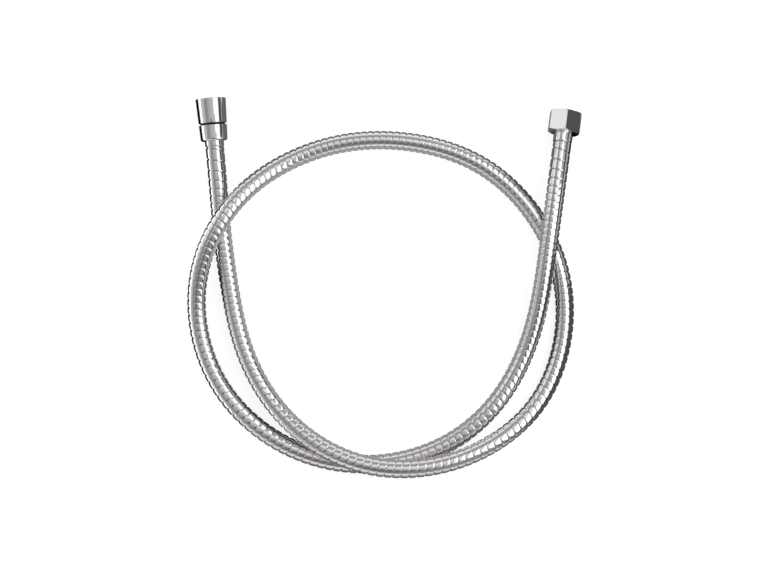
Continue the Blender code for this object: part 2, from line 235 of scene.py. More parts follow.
def mesh_from(name, points, quads, uv=None, sharp_degrees=35.0):
    """A mesh with these points and four-cornered faces, smooth but for edges sharper than given."""
    points = np.asarray(points, float).reshape(-1, 3)
    if enclosed(points - points.mean(axis=0), quads) < 0:
        quads = quads[:, ::-1]
        uv = None if uv is None else uv.reshape(-1, 4, 2)[:, ::-1].reshape(-1, 2)
    mesh = bpy.data.meshes.new(name)
    mesh.vertices.add(len(points))
    mesh.vertices.foreach_set("co", np.asarray(points, np.float32).ravel())
    mesh.loops.add(quads.size)
    mesh.loops.foreach_set("vertex_index", quads.astype(np.int32).ravel())
    mesh.polygons.add(len(quads))
    mesh.polygons.foreach_set("loop_start", np.arange(0, quads.size, 4, dtype=np.int32))
    mesh.update(calc_edges=True)
    if uv is not None:
        layer = mesh.uv_layers.new(name="surface")
        layer.uv.foreach_set("vector", np.asarray(uv, np.float32).ravel())
    mesh.validate()
    mesh.shade_smooth()
    mesh.set_sharp_from_angle(angle=math.radians(sharp_degrees))
    return mesh


def ring_quads(rows, columns, closed_rows=False):
    """Faces of a grid that closes round its columns, and also along its rows if asked."""
    row = np.arange(rows if closed_rows else rows - 1)[:, None]
    column = np.arange(columns)[None, :]
    below = row * columns
    above = (row + 1) % rows * columns
    right = (column + 1) % columns
    quads = np.stack([below + column, below + right, above + right, above + column], -1)
    return quads.reshape(-1, 4)


def dress(name, mesh, body, stands_for, surface):
    """Puts a mesh into the scene as a piece on a body, in the place of a plain node."""
    mesh.materials.append(surface)
    obj = bpy.data.objects.new(name, mesh)
    bpy.context.scene.collection.objects.link(obj)
    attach(obj, body)
    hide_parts(stands_for)
    print(f"{name}: {len(mesh.polygons)} faces")
    return obj


# %% [markdown]
# ## Finishes
#
# Bright chrome is almost all reflection: a nearly white metal, a very low roughness, and faint
# polishing marks that break up the highlights. The wound strip is the same bright finish, but
# each turn tucks under the next, and the fold between turns gets a painted dark shade. Rubber
# is black and dull, brass is turned, and the plastics are plain. Pieces that only show through a
# socket keep their plain shape and get a finish.
#
# The marks could come from pictures. Noise on the piece's own coordinates needs none, has no seam,
# and moves with the piece.


# %% Material helpers
def new_material(name):
    """A material with its nodes, links and shader at hand."""
    made = bpy.data.materials.new(name)
    made.use_nodes = True
    tree = made.node_tree
    return made, tree, tree.nodes["Principled BSDF"]


def math_node(tree, operation, first, second=None):
    """One step of arithmetic in a shader, on outputs or numbers."""
    step = tree.nodes.new("ShaderNodeMath")
    step.operation = operation
    for k, value in enumerate((first, second)):
        if value is None:
            continue
        if isinstance(value, (int, float)):
            step.inputs[k].default_value = value
        else:
            tree.links.new(value, step.inputs[k])
    return step.outputs["Value"]


def ramp_of(tree, source, stops):
    """A grey that goes through the values at their places, from 0 to 1, as the source does."""
    ramp = tree.nodes.new("ShaderNodeValToRGB")
    elements = ramp.color_ramp.elements
    while len(elements) < len(stops):
        elements.new(0.5)
    for element, (place, value) in zip(elements, stops):
        element.position = place
        element.color = (value, value, value, 1.0)
    tree.links.new(source, ramp.inputs["Fac"])
    return ramp.outputs["Color"]


def noise_on_object(tree, scale, detail=4.0, stretch=(1.0, 1.0, 1.0)):
    """Noise that stays on the piece: object coordinates, stretched, into a noise texture."""
    place = tree.nodes.new("ShaderNodeTexCoord")
    mapping = tree.nodes.new("ShaderNodeMapping")
    mapping.inputs["Scale"].default_value = stretch
    noise = tree.nodes.new("ShaderNodeTexNoise")
    noise.inputs["Scale"].default_value = scale
    noise.inputs["Detail"].default_value = detail
    tree.links.new(place.outputs["Object"], mapping.inputs["Vector"])
    tree.links.new(mapping.outputs["Vector"], noise.inputs["Vector"])
    return noise


def between(tree, source, low, high):
    """A value that goes from low to high as the source goes from 0 to 1."""
    spread = tree.nodes.new("ShaderNodeMapRange")
    spread.inputs["To Min"].default_value = low
    spread.inputs["To Max"].default_value = high
    tree.links.new(source, spread.inputs["Value"])
    return spread.outputs["Result"]


def bump_from(tree, shader, source, height):
    """Raises the surface by up to height metres where the source is 1."""
    bump = tree.nodes.new("ShaderNodeBump")
    bump.inputs["Strength"].default_value = 1.0
    bump.inputs["Distance"].default_value = height
    tree.links.new(source, bump.inputs["Height"])
    tree.links.new(bump.outputs["Normal"], shader.inputs["Normal"])


# %% Chrome plate
CHROME_COLOUR = (0.82, 0.81, 0.82, 1.0)
CHROME_ROUGHNESS = (0.03, 0.11)
CHROME_SWELL = 0.00001


def chrome_plate():
    """Bright plate: polishing marks in the roughness and a hint of unevenness under them."""
    made, tree, shader = new_material("chrome_plate")
    shader.inputs["Base Color"].default_value = CHROME_COLOUR
    shader.inputs["Metallic"].default_value = 1.0
    marks = noise_on_object(tree, scale=900.0, detail=6.0)
    rough = between(tree, marks.outputs["Fac"], *CHROME_ROUGHNESS)
    tree.links.new(rough, shader.inputs["Roughness"])
    swell = noise_on_object(tree, scale=120.0, detail=2.0)
    bump_from(tree, shader, swell.outputs["Fac"], CHROME_SWELL)
    return made


chrome = chrome_plate()
print("made", chrome.name)


# %% Wound strip
STRIP_COLOUR = (0.80, 0.775, 0.78, 1.0)
STRIP_ROUGHNESS = (0.03, 0.1)
# Painted shade: the dark colour of the folds between turns, where shade falls.
FOLD_SHADE_COLOUR = (0.08, 0.075, 0.075, 1.0)
FOLD_SHADE_SHARE = 0.045


def wound_strip():
    """The strip's finish: v runs across it, and both edges of v get painted shade for the folds."""
    made, tree, shader = new_material("wound_strip")
    shader.inputs["Metallic"].default_value = 1.0
    where = tree.nodes.new("ShaderNodeUVMap")
    where.uv_map = "surface"
    split = tree.nodes.new("ShaderNodeSeparateXYZ")
    tree.links.new(where.outputs["UV"], split.inputs["Vector"])
    # Painted shade at both edges of v, where the folds are.
    fold_shade = tree.nodes.new("ShaderNodeValToRGB")
    stops = fold_shade.color_ramp.elements
    for stop, place in zip(stops, (0.0, 1.0)):
        stop.position = place
        stop.color = FOLD_SHADE_COLOUR
    for place in (FOLD_SHADE_SHARE, 1 - FOLD_SHADE_SHARE):
        stops.new(place).color = STRIP_COLOUR
    tree.links.new(split.outputs["Y"], fold_shade.inputs["Fac"])
    tree.links.new(fold_shade.outputs["Color"], shader.inputs["Base Color"])
    marks = noise_on_object(tree, scale=700.0, detail=5.0)
    rough = between(tree, marks.outputs["Fac"], *STRIP_ROUGHNESS)
    tree.links.new(rough, shader.inputs["Roughness"])
    return made


strip_finish = wound_strip()
print("made", strip_finish.name)


# %% Rubber, brass and plastics
def plain_finish(name, colour, roughness, metallic, grain_scale, grain_height):
    """A finish with a fine grain in its roughness and surface."""
    made, tree, shader = new_material(name)
    shader.inputs["Base Color"].default_value = (*colour, 1.0)
    shader.inputs["Metallic"].default_value = metallic
    grain = noise_on_object(tree, scale=grain_scale)
    low, high = roughness
    tree.links.new(between(tree, grain.outputs["Fac"], low, high), shader.inputs["Roughness"])
    bump_from(tree, shader, grain.outputs["Fac"], grain_height)
    return made


rubber = plain_finish("washer_rubber", (0.028, 0.028, 0.03), (0.5, 0.75), 0.0, 1500.0, 0.00004)
# Painted shade: a near-black for the faces in and behind the cone's groove, where shade falls.
groove_shade = plain_finish("painted_groove_shade", (0.012, 0.012, 0.013), (0.35, 0.6), 0.0, 700.0, 0.00002)
groove_shade.node_tree.nodes["Principled BSDF"].inputs["Specular IOR Level"].default_value = 0.15
dull_plate = plain_finish("dull_plate", (0.30, 0.29, 0.29), (0.3, 0.5), 1.0, 900.0, 0.00002)
brass = plain_finish("turned_brass", (0.72, 0.54, 0.25), (0.22, 0.4), 1.0, 1200.0, 0.00002)
liner = plain_finish("liner_plastic", (0.72, 0.73, 0.71), (0.4, 0.55), 0.0, 300.0, 0.00002)
bearing = plain_finish("bearing_plastic", (0.83, 0.82, 0.78), (0.35, 0.5), 0.0, 300.0, 0.00002)
for node, finish in (
    ("cone_tail", brass),
    ("hex_tail", brass),
    ("front_o_ring", rubber),
    ("rear_o_ring", rubber),
    ("slide_ring", bearing),
    ("inner_tube", liner),
):
    nodes[node].data.materials.clear()
    nodes[node].data.materials.append(finish)
print("finishes on the inner pieces")

# %% [markdown]
# ## Turned surfaces
#
# Nearly every fitting is a turned piece: an outline, spun once round the axis. The outline's
# corners are eased, because a real edge is never perfectly sharp and its small curve is what
# catches the light. The surface is then a function of two numbers: the place along the outline
# and the angle round the axis. A Screw modifier would spin the outline too, but a formula can also
# move each point outwards, which the thread needs.

# %% Turned surfaces
FITTING_AROUND = 128
CORNER_STEPS = 4


def eased(corners, steps=CORNER_STEPS):
    """A closed outline of (radius, depth, ease), where each corner becomes a short curve.

    The curve leaves one side at the ease's distance from the corner and joins the other side at
    the same distance, bending towards the corner between them.
    """
    corners = np.array(corners, float)
    points, ease = corners[:, :2], corners[:, 2:]
    back = np.roll(points, 1, axis=0) - points
    ahead = np.roll(points, -1, axis=0) - points
    leave = points + back / np.linalg.norm(back, axis=1, keepdims=True) * ease
    join = points + ahead / np.linalg.norm(ahead, axis=1, keepdims=True) * ease
    t = np.linspace(0.0, 1.0, steps + 1)[None, :, None]
    curve = (1 - t) ** 2 * leave[:, None] + 2 * t * (1 - t) * points[:, None] + t**2 * join[:, None]
    return curve.reshape(-1, 2)


def turned_mesh(name, axis, outline, deeper=None):
    """The outline spun round the axis. What deeper() gives moves points outwards, in mm."""
    angle = np.arange(FITTING_AROUND) / FITTING_AROUND * 2 * np.pi
    radius = outline[:, :1] + 0 * angle
    depth = outline[:, 1:] + 0 * angle
    angle = angle + 0 * radius
    if deeper is not None:
        radius = radius + deeper(angle, depth, radius)
    points = axis.points(radius, angle, depth)
    quads = ring_quads(*radius.shape, closed_rows=True)
    return mesh_from(name, points, quads, sharp_degrees=30.0)


def paint_rows(mesh, rows, finish):
    """Gives a second material, here painted shade, to the rows of a turned mesh that are picked."""
    mesh.materials.append(finish)
    mesh.polygons.foreach_set("material_index", np.repeat(rows, FITTING_AROUND).astype(np.int32))


# %% [markdown]
# ## The thread
#
# Both nuts take a G1/2 pipe thread: 14 turns to the inch, 20.955 mm across its roots in a nut and
# 18.631 mm across its crests. The groove is a V with rounded top and bottom. Its depth at a point
# depends only on the turn's phase there: the depth over the pitch, less the angle as a share of a
# turn. At both ends the groove runs out. A coil cut out with a Boolean modifier would give the same
# groove, but with ragged faces that spoil the reflections.

# %% Thread
THREAD_MINOR = 18.631
BORE = THREAD_MINOR / 2
BORE_MARGIN = 0.02
THREAD_HEIGHT = 1.162
THREAD_PITCH = 25.4 / 14
THREAD_LEAD_IN = 1.0
THREAD_RUN_IN = 1.2
THREAD_RUN_OUT = 1.8
THREAD_ROUNDING = 0.125
THREAD_ROW = 0.11
ROWS_OFF_BACK = 0.1
ROWS_OFF_FRONT = 0.05


def thread(start, end):
    """A function that gives the thread's groove between two depths, at each point of a bore.

    The groove is deepest in the middle of a turn's phase and falls off evenly to both sides. A
    little is clipped off its top and bottom, and it fades in and out at the two depths.
    """

    def deeper(angle, depth, radius):
        phase = (depth / THREAD_PITCH - angle / (2 * np.pi)) % 1.0
        vee = 1 - np.abs(2 * phase - 1)
        rounded_vee = np.clip((1 + 2 * THREAD_ROUNDING) * vee - THREAD_ROUNDING, 0.0, 1.0)
        run_in = np.clip((depth - start) / THREAD_RUN_IN, 0.0, 1.0)
        run_out = np.clip((end - depth) / THREAD_RUN_OUT, 0.0, 1.0)
        bore = np.abs(radius - BORE) < BORE_MARGIN
        return np.where(bore, THREAD_HEIGHT * rounded_vee * run_in * run_out, 0.0)

    return deeper


def bore_outline(shoulder):
    """The nut's inside, from its back shoulder up to the lead-in, in rows fine enough to thread."""
    depth = np.arange(shoulder - ROWS_OFF_BACK, THREAD_LEAD_IN + ROWS_OFF_FRONT, -THREAD_ROW)
    return np.stack([np.full(depth.shape, BORE), depth], -1)


# %% [markdown]
# ## The conical end
#
# The cone is two pieces with a groove between them. The half at the mouth is the nut, and the half
# at the hose is a sleeve fixed on the swivel inside, so the nut can be tightened while the hose
# keeps still. Their tapers run on from one to the other. In the groove the sleeve has a lower lip,
# which is painted near-black as shade, as the groove's walls are. A short plain collar follows,
# squeezed on the hose. All sizes are in millimetres, and depths are counted from the mouth.

# %% Cone sizes
CONE_LENGTH = 32.0
CONE_MOUTH_RADIUS = 11.4
CONE_END_RADIUS = 10.05
CONE_NUT_LENGTH = 18.45
CONE_SLEEVE_START = 20.1
CONE_END_ROUND = 1.9
CONE_SOCKET = 10.4
CONE_SHOULDER = 14.8
GROOVE_EDGE = 0.18
GROOVE_RADIUS = 9.3
GROOVE_SHADE_DEPTH = 0.12
LIP_START = 18.8
POCKET_RADIUS = 8.3
POCKET_END = 29.9
SPIGOT_RADIUS = 7.2
SPIGOT_HOLE = 7.5
SPIGOT_END = 26.0
NECK_SHADE_START = 14.8
FLANGE_RADIUS = 9.0155
FLANGE_FRONT = 12.7
FLANGE_BACK = 14.5
WATERWAY_RADIUS = 3.0
CHAMBER_RADIUS = 5.6
CHAMBER_FLOOR = 16.7
WASHER_HOLE_RADIUS = 5.5
WASHER_THICKNESS = 2.0
FERRULE_RADIUS = 7.15
FERRULE_HOLE = 7.45
FERRULE_BORE = 5.9
FERRULE_LIP = 0.9
TAIL_NECK_HOLE = 5.6
CONE_COLLAR = (29.9, 36.0)
HEX_COLLAR = (13.4, 23.0)
EDGE = 0.35
FINE_EDGE = 0.1


def cone_radius(depth):
    """The cone's outer radius at a depth from its mouth."""
    return CONE_MOUTH_RADIUS + (CONE_END_RADIUS - CONE_MOUTH_RADIUS) * depth / CONE_LENGTH


# %% Cone nut
# The last corner only shows the one before it which way to turn. The bore's rows take its place.
cone_nut_outline = np.vstack([
    eased([
        (BORE + THREAD_LEAD_IN, 0.0, FINE_EDGE),
        (cone_radius(0.0), 0.0, 0.5),
        (cone_radius(CONE_NUT_LENGTH), CONE_NUT_LENGTH, GROOVE_EDGE),
        (SPIGOT_HOLE, CONE_NUT_LENGTH, GROOVE_EDGE),
        (SPIGOT_HOLE, CONE_SHOULDER, FINE_EDGE),
        (BORE, CONE_SHOULDER, 0.05),
        (BORE, THREAD_LEAD_IN, 0.02),
    ])[:-(CORNER_STEPS + 1)],
    bore_outline(CONE_SHOULDER),
    [[BORE, THREAD_LEAD_IN]],
])
cone_thread = thread(THREAD_LEAD_IN, CONE_SOCKET)
cone_nut_mesh = turned_mesh("threaded_cone", cone_axis, cone_nut_outline, cone_thread)
dress("threaded_cone", cone_nut_mesh, "cone_nut", "cone_nut", chrome)
# The groove's walls on the nut get painted shade.
groove_shade_rows = (cone_nut_outline[:, 1] > CONE_NUT_LENGTH - 2 * GROOVE_EDGE) & (
    cone_nut_outline[:, 0] < cone_radius(CONE_NUT_LENGTH) - GROOVE_EDGE
)
paint_rows(cone_nut_mesh, groove_shade_rows, groove_shade)

# %% Sleeve, swivel and washer
sleeve_outline = eased([
    (SPIGOT_HOLE, LIP_START, FINE_EDGE),
    (GROOVE_RADIUS, LIP_START, FINE_EDGE),
    (GROOVE_RADIUS, CONE_SLEEVE_START, 0.05),
    (cone_radius(CONE_SLEEVE_START), CONE_SLEEVE_START, GROOVE_EDGE),
    (cone_radius(CONE_LENGTH), CONE_LENGTH, CONE_END_ROUND),
    (FERRULE_HOLE, CONE_LENGTH, EDGE),
    (FERRULE_HOLE, POCKET_END, FINE_EDGE),
    (POCKET_RADIUS, POCKET_END, FINE_EDGE),
    (POCKET_RADIUS, SPIGOT_END, FINE_EDGE),
    (SPIGOT_HOLE, SPIGOT_END, FINE_EDGE),
], steps=6)
sleeve_mesh = turned_mesh("cone_sleeve", cone_axis, sleeve_outline)
dress("cone_sleeve", sleeve_mesh, "swivel", "swivel_sleeve", chrome)
# The sleeve's lip and wall in the groove get painted shade.
groove_shade_rows = (sleeve_outline[:, 1] < CONE_SLEEVE_START + GROOVE_SHADE_DEPTH) & (
    sleeve_outline[:, 0] < cone_radius(CONE_SLEEVE_START) - GROOVE_EDGE
)
paint_rows(sleeve_mesh, groove_shade_rows, groove_shade)

spigot_outline = eased([
    (WATERWAY_RADIUS, FLANGE_FRONT, 0.3),
    (FLANGE_RADIUS, FLANGE_FRONT, 0.2),
    (FLANGE_RADIUS, FLANGE_BACK, 0.2),
    (SPIGOT_RADIUS, FLANGE_BACK, FINE_EDGE),
    (SPIGOT_RADIUS, SPIGOT_END, 0.2),
    (CHAMBER_RADIUS, SPIGOT_END, 0.2),
    (CHAMBER_RADIUS, CHAMBER_FLOOR, FINE_EDGE),
    (WATERWAY_RADIUS, CHAMBER_FLOOR, FINE_EDGE),
])
spigot_mesh = turned_mesh("swivel_core", cone_axis, spigot_outline)
dress("swivel_core", spigot_mesh, "swivel", "swivel_spigot", dull_plate)
# The swivel's outside behind the groove gets painted shade.
neck_shade_rows = (spigot_outline[:, 0] > SPIGOT_RADIUS - 0.2) & (spigot_outline[:, 1] > NECK_SHADE_START)
paint_rows(spigot_mesh, neck_shade_rows, groove_shade)


def washer_mesh(name, axis, front):
    """A flat rubber ring with eased edges that lies on a socket's floor."""
    return turned_mesh(name, axis, eased([
        (WASHER_HOLE_RADIUS, front, 0.25),
        (FLANGE_RADIUS, front, 0.25),
        (FLANGE_RADIUS, front + WASHER_THICKNESS, 0.25),
        (WASHER_HOLE_RADIUS, front + WASHER_THICKNESS, 0.25),
    ]))


seal = washer_mesh("cone_seal", cone_axis, CONE_SOCKET)
dress("cone_seal", seal, "swivel", "cone_washer", rubber)


# %% Collars
def collar_mesh(name, axis, front, end):
    """A collar from its lip round the tail's neck to its bright outer end, eased by the hose."""
    return turned_mesh(name, axis, eased([
        (TAIL_NECK_HOLE, front, FINE_EDGE),
        (FERRULE_RADIUS, front, FINE_EDGE),
        (FERRULE_RADIUS, end, 0.6),
        (FERRULE_BORE, end, 0.2),
        (FERRULE_BORE, front + FERRULE_LIP, FINE_EDGE),
        (TAIL_NECK_HOLE, front + FERRULE_LIP, FINE_EDGE),
    ]))


cone_collar = collar_mesh("cone_collar", cone_axis, *CONE_COLLAR)
dress("cone_collar", cone_collar, "hose", "cone_ferrule", chrome)
hex_collar = collar_mesh("hex_collar", hex_axis, *HEX_COLLAR)
dressed_hex_collar = dress("hex_collar", hex_collar, "hose", "hex_ferrule", chrome)

# %% [markdown]
# ## The hex nut
#
# A hex nut is made from hexagonal bar. Turning its ends cuts the six corners back at 30 degrees,
# and where that cone meets a flat the edge is a shallow arch. On a grid whose columns run down the
# flats, the arch needs no cutting: in each column the cone meets the side at a depth that follows
# from how far out the side is there. Two rows close together ease each edge.

# %% Hexagon
HEX_FLATS = 23.0
HEX_LENGTH = 16.0
HEX_SHOULDER = 13.4
HEX_SOCKET = 9.0
HEX_HOSE_FACE = 21.8
HEX_MOUTH_FACE = 24.4
HEX_ROLL = 2.0
HEX_CORNER_EASE = 0.55
EDGE_NEAR = 0.12
EDGE_FAR = 0.3
CHAMFER_SLOPE = math.tan(math.radians(30))


def hexagon(flats, ease, per_flat=18, per_corner=7):
    """Angles and radii of points once round a hexagon with eased corners, a corner at the top.

    A flat's points lie as far out as half the width across flats. A corner's points lie on a small
    circle, whose radius is the ease, and which touches both flats.
    """
    middle = flats / 2 - ease
    half = middle * math.tan(math.radians(30))
    along_flat = np.linspace(-half, half, per_flat)
    turn = np.radians(np.linspace(0.0, 60.0, per_corner + 2)[1:-1])
    out = np.concatenate([np.full(per_flat, flats / 2), middle + ease * np.cos(turn)])
    over = np.concatenate([along_flat, half + ease * np.sin(turn)])
    face = np.radians(np.arange(6) * 60.0 - 60.0 + HEX_ROLL)
    angle = (face[:, None] + np.arctan2(over, out)).ravel()
    return angle, np.tile(np.hypot(out, over), 6)


def hex_surface():
    """Radius and depth of every row, in each column, round the hex nut.

    At each end the radius is the side's own or the end face's, whichever is less. What the face
    takes off, times the cone's slope, is the depth at which the cone meets the side.
    """
    angle, side = hexagon(HEX_FLATS, HEX_CORNER_EASE)
    mouth = np.minimum(side, HEX_MOUTH_FACE / 2)
    hose = np.minimum(side, HEX_HOSE_FACE / 2)
    mouth_cut = (side - mouth) * CHAMFER_SLOPE
    hose_cut = (side - hose) * CHAMFER_SLOPE
    none = 0 * side
    bore = bore_outline(HEX_SHOULDER)
    rows = [
        (none + BORE + THREAD_LEAD_IN, none),
        (mouth - 0.25, none),
        (mouth - 0.1, none + 0.04),
        (mouth + 0.02, mouth_cut * 0.05 + EDGE_NEAR),
        (side - 0.03, mouth_cut + EDGE_NEAR),
        (side, mouth_cut + EDGE_FAR),
        (side, HEX_LENGTH - hose_cut - EDGE_FAR),
        (side - 0.03, HEX_LENGTH - hose_cut - EDGE_NEAR),
        (hose + 0.02, HEX_LENGTH - EDGE_NEAR - hose_cut * 0.05),
        (hose - 0.1, none + HEX_LENGTH - 0.04),
        (hose - 0.25, none + HEX_LENGTH),
        (none + FERRULE_HOLE + EDGE_FAR, none + HEX_LENGTH),
        (none + FERRULE_HOLE, none + HEX_LENGTH - EDGE_FAR),
        (none + FERRULE_HOLE, none + HEX_SHOULDER),
        (none + BORE, none + HEX_SHOULDER),
    ]
    rows += [(none + radius, none + depth) for radius, depth in bore]
    rows.append((none + BORE, none + THREAD_LEAD_IN))
    radius = np.array([row[0] for row in rows])
    depth = np.array([row[1] for row in rows])
    return angle + 0 * radius, radius, depth


hex_angle, hex_radius, hex_depth = hex_surface()
hex_thread = thread(THREAD_LEAD_IN, HEX_SOCKET)
hex_radius = hex_radius + hex_thread(hex_angle, hex_depth, hex_radius)
hex_points = hex_axis.points(hex_radius, hex_angle, hex_depth)
hex_quads = ring_quads(*hex_radius.shape, closed_rows=True)
hex_mesh = mesh_from("threaded_hex", hex_points, hex_quads, sharp_degrees=24.0)
dress("threaded_hex", hex_mesh, "hex_nut", "hex_nut", chrome)
seal = washer_mesh("hex_seal", hex_axis, HEX_SOCKET)
dress("hex_seal", seal, "hose", "hex_washer", rubber)

# %% [markdown]
# ## The wound strip
#
# The metal hose is one strip, wound in a helix. Across its width the strip is nearly flat, with
# rounded shoulders that turn down into a narrow fold where one turn meets the next. So its surface
# is a function of two numbers: u, how far round the helix, and v, how far across the strip. The
# turn that a point belongs to and its place across it together say how far along the hose it lies.
#
# The turns aren't all as wide. Next to each fitting the hose has been pulled out a little, and the
# turns are long. Further on they settle to 5 or 6 mm. A width that changes along the hose is
# handled by counting turns: the count at a place is the sum of one over the width up to there.
# Rings set side by side would be simpler, but they would stand straight across the hose, and the
# real windings slant.
#
# In the photograph a reflection runs on from turn to turn. So the normals, which steer the
# reflections, are turned most of the way to those of a plain round hose. The shape keeps its
# scallops, which show in the outline.

# %% Turns along the hose
STRIP_PITCH = 4.9
PULLED_PITCH = 8.8
PULLED_LENGTH = 28.0
SLACK_PITCH = 1.1
SLACK_WAVES = 2.0
FOLD_DEPTH = 1.7
SHOULDER = 1.5
ROUNDNESS = 0.82
CROWN = 0.03
LINER_HOLE = 5.75
AROUND = 36
SMALLEST_FACE = 1e-10

run = np.linspace(0.0, hose_length / MM, 6000)
near_end = np.exp(-(run / PULLED_LENGTH) ** 2) + np.exp(-((run[-1] - run) / PULLED_LENGTH) ** 2)
slack = 0.5 - 0.5 * np.cos(2 * np.pi * run / run[-1] * SLACK_WAVES)
pitch = STRIP_PITCH + SLACK_PITCH * slack + (PULLED_PITCH - STRIP_PITCH) * near_end
turns_between = np.diff(run) * 0.5 * (1 / pitch[1:] + 1 / pitch[:-1])
turn_count = np.concatenate([[0.0], np.cumsum(turns_between)])
turns = int(math.floor(turn_count[-1]))
print("turns:", turns, "widths from", round(pitch.min(), 1), "to", round(pitch.max(), 1), "mm")


# %% Points of the strip
def along_hose(place):
    """The hose's middle, and the directions up and across it, at millimetres along it.

    The way along is from a point just behind to one just ahead. Across is level and square to it.
    """
    metres = place * MM
    step = 0.5 * MM
    middle, ahead, behind = (
        np.stack([np.interp(at, route_run, route[:, k]) for k in range(3)], -1)
        for at in (metres, metres + step, metres - step)
    )
    way = ahead - behind
    way /= np.linalg.norm(way, axis=-1, keepdims=True)
    across = np.cross(way, [0.0, 0.0, 1.0])
    across /= np.linalg.norm(across, axis=-1, keepdims=True)
    up = np.cross(across, way)
    return middle, up, across


def strip_surface(columns):
    """Points of the helix, and the way out there: angle u round the hose, v across the strip.

    The strip is nearly flat across, with a slight crown. At both edges its shoulder turns down
    into the fold as a quarter of an ellipse, as wide on every turn, and stops short of the liner.
    What lies past an end of the hose is drawn in to a flat ring, which closes the strip there.
    """
    turned = np.arange((turns + 3) * AROUND)[:, None] / AROUND
    v = columns[None, :]
    count = turned - 1.0 + v
    place = np.interp(count, turn_count, run)
    width = np.interp(place, run, pitch)
    inward = np.clip(1 - np.minimum(v, 1 - v) * width / SHOULDER, 0.0, 1.0)
    drop = FOLD_DEPTH * (1 - np.sqrt(1 - inward**2))
    radius = HOSE_OD / 2 - CROWN * (2 * v - 1) ** 2 - drop
    past = (count < 0.0) | (count > turn_count[-1])
    radius = np.where(past, LINER_HOLE, np.maximum(radius, LINER_HOLE))
    middle, up, across = along_hose(place)
    angle = 2 * np.pi * turned
    out = np.cos(angle)[..., None] * across + np.sin(angle)[..., None] * up
    return middle + out * (radius * MM)[..., None], out


near_edge = np.array([0.0, 0.03, 0.075, 0.14, 0.23])
columns = np.concatenate([near_edge, [0.5], 1 - near_edge[:0:-1]])
strip_points, strip_out = strip_surface(columns)
print("strip grid:", strip_points.shape)


# %% The strip's mesh
def strip_mesh(points, columns):
    """Joins each turn's last column to the first column of the turn that follows it."""
    rows, wide = points.shape[:2]
    last = rows - AROUND - 1
    row = np.arange(last)[:, None]
    column = np.arange(wide)[None, :]
    index = np.arange(rows * wide).reshape(rows, wide)
    here = index[:last]
    ahead = index[1:last + 1]
    edge_here = index[AROUND:AROUND + last, 0]
    edge_ahead = index[AROUND + 1:AROUND + last + 1, 0]
    here_right = np.column_stack([here[:, 1:], edge_here])
    ahead_right = np.column_stack([ahead[:, 1:], edge_ahead])
    quads = np.stack([here, here_right, ahead_right, ahead], -1).reshape(-1, 4)
    right = np.append(columns[1:], 1.0)[column] + 0 * row
    left = columns[column] + 0 * row
    u0 = row / AROUND + 0 * column
    u1 = (row + 1) / AROUND + 0 * column
    corners = [np.stack(pair, -1) for pair in ((u0, left), (u0, right), (u1, right), (u1, left))]
    uv = np.stack(corners, 2).reshape(-1, 2)
    flat = points.reshape(-1, 3)
    corner = flat[quads]
    area = np.linalg.norm(
        np.cross(corner[:, 2] - corner[:, 0], corner[:, 3] - corner[:, 1]), axis=1
    )
    keep = area > SMALLEST_FACE
    uv = uv.reshape(-1, 4, 2)[keep].reshape(-1, 2)
    return mesh_from("wound_hose", flat, quads[keep], uv, sharp_degrees=40.0)


def ease_normals(mesh, out):
    """Turns each point's normal most of the way to straight out from the hose's middle."""
    own = np.empty(len(mesh.vertices) * 3, np.float32)
    mesh.vertices.foreach_get("normal", own)
    eased_normals = (1 - ROUNDNESS) * own.reshape(-1, 3) + ROUNDNESS * out.reshape(-1, 3)
    eased_normals /= np.linalg.norm(eased_normals, axis=1, keepdims=True)
    mesh.normals_split_custom_set_from_vertices(eased_normals)


hose_mesh = strip_mesh(strip_points, columns)
ease_normals(hose_mesh, strip_out)
wound_hose = dress("wound_hose", hose_mesh, "hose", "metal_hose", strip_finish)

# %% [markdown]
# ## Floor, light and surroundings
#
# Chrome shows what stands round it, so the floor matters twice: as the white ground that the camera
# sees, and as what the lower half of every piece mirrors. The camera sees it lifted to white, with
# a faint shadow. The metal mirrors it in painted tones that are worked out on its grid from the
# distance to the hose: a painted shadow dark close by, white further out, a painted grey inside the
# loops and painted shade to the right of them.

# %% Floor
FLOOR_LINES = (0.32, 0.5, 1.0, 4.0)
FLOOR_CLOSE = 0.24
FLOOR_STEP = 0.003
FLOOR_SHIFT = -0.12
FLOOR_TONE = 0.5
FLOOR_LIFT = 0.8
LOOP_MIDDLE = (-3.0, -12.0)
LOOP_HALF = (138.0, 122.0)
LOOP_EDGE = (0.97, 1.03)
OPEN_TONE = ([0.0, 22.0, 31.0, 43.0, 62.0, 100.0], [0.0, 0.01, 0.12, 0.5, 0.88, 1.0])
INNER_TONE = ([-140.0, 0.0, 130.0], [0.42, 0.36, 0.30])
CONTACT_SHADOW_TONE = ([0.0, 2.0, 7.0], [0.05, 0.4, 1.0])
BETWEEN_LEGS = (0.118, 0.13, 0.02, 0.05)
LEGS_TONE = (0.3, 0.14)
FITTING_SHADE = 30.0
RIGHT_SHADE_TONE = 0.08
RIGHT_FROM = (0.5, 0.8)


def soft_step(value, low, high):
    """Goes smoothly from 0 to 1 as the value goes from low to high."""
    t = np.clip((value - low) / (high - low), 0.0, 1.0)
    return t * t * (3 - 2 * t)


def floor_grid():
    """Lines of the floor's grid: close together under the hose, and out to four metres."""
    far = np.array(FLOOR_LINES)
    close = np.arange(-FLOOR_CLOSE, FLOOR_CLOSE + 0.1 * MM, FLOOR_STEP)
    lines = np.concatenate([-far[::-1], close, far])
    return lines, lines + FLOOR_SHIFT


